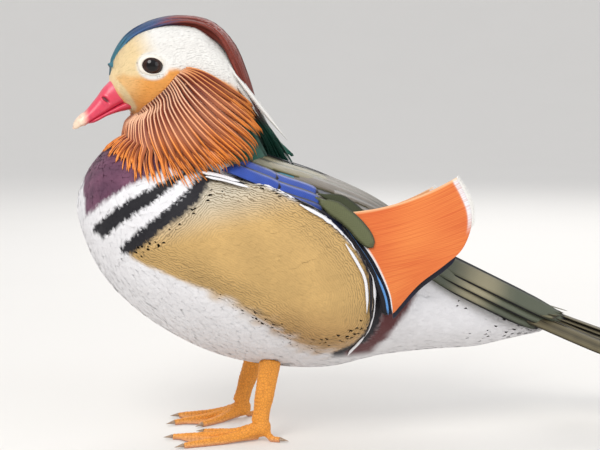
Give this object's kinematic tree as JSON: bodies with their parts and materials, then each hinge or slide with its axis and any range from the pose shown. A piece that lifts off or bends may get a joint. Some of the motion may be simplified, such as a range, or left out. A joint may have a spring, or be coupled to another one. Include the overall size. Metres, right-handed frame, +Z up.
{
  "type": "mandarin duck",
  "caption": "Standing mandarin drake, life size, with ruff, crest and raised orange sail feathers; a still model.",
  "frame": {"origin": "on the floor under the middle of the bird's outline, between the feet's level and the sides", "axes": "+Z up, -X towards the bill, -Y towards the bird's left side"},
  "size_m": [0.3316, 0.1206, 0.2391],
  "materials": {
    "body_feathers": "small soft body feathers over flesh, maroon breast and white belly",
    "white_feathers": "soft white feathers of the vent and undertail",
    "neck_feathers": "maroon-purple feathers over flesh",
    "head_feathers": "velvety cream and peach face feathers over flesh",
    "eye": "wet dark brown eye",
    "bill": "satin crimson-pink horn with a pale nail",
    "ruff": "pointed rusty-orange hackles with pale shafts",
    "crest": "long silky feathers, steel blue, copper red and bottle green",
    "flank": "golden tan feathers with fine wavy dark lines",
    "wing": "cobalt-blue, olive and grey-brown flight and cover feathers",
    "sail": "orange vane with fine barbs and a white fringe",
    "tail": "olive-brown tail feathers",
    "leg_skin": "scaled orange-yellow skin",
    "claw": "horn"
  },
  "bodies": {
    "root": {"torso": "body_feathers", "rump": "white_feathers", "neck": "neck_feathers", "head": "head_feathers", "eye_left": "eye", "eye_right": "eye", "bill_upper": "bill", "bill_lower": "bill", "ruff_left": "ruff", "ruff_right": "ruff", "crest": "crest", "flank_left": "flank", "flank_right": "flank", "wing_left": "wing", "wing_right": "wing", "sail_left": "sail", "sail_right": "sail", "tail": "tail", "leg_left": "leg_skin", "leg_right": "leg_skin", "foot_left": "leg_skin", "foot_right": "leg_skin", "claw_left_1": "claw", "claw_left_2": "claw", "claw_left_3": "claw", "claw_left_4": "claw", "claw_right_1": "claw", "claw_right_2": "claw", "claw_right_3": "claw", "claw_right_4": "claw"}
  },
  "joints": []
}
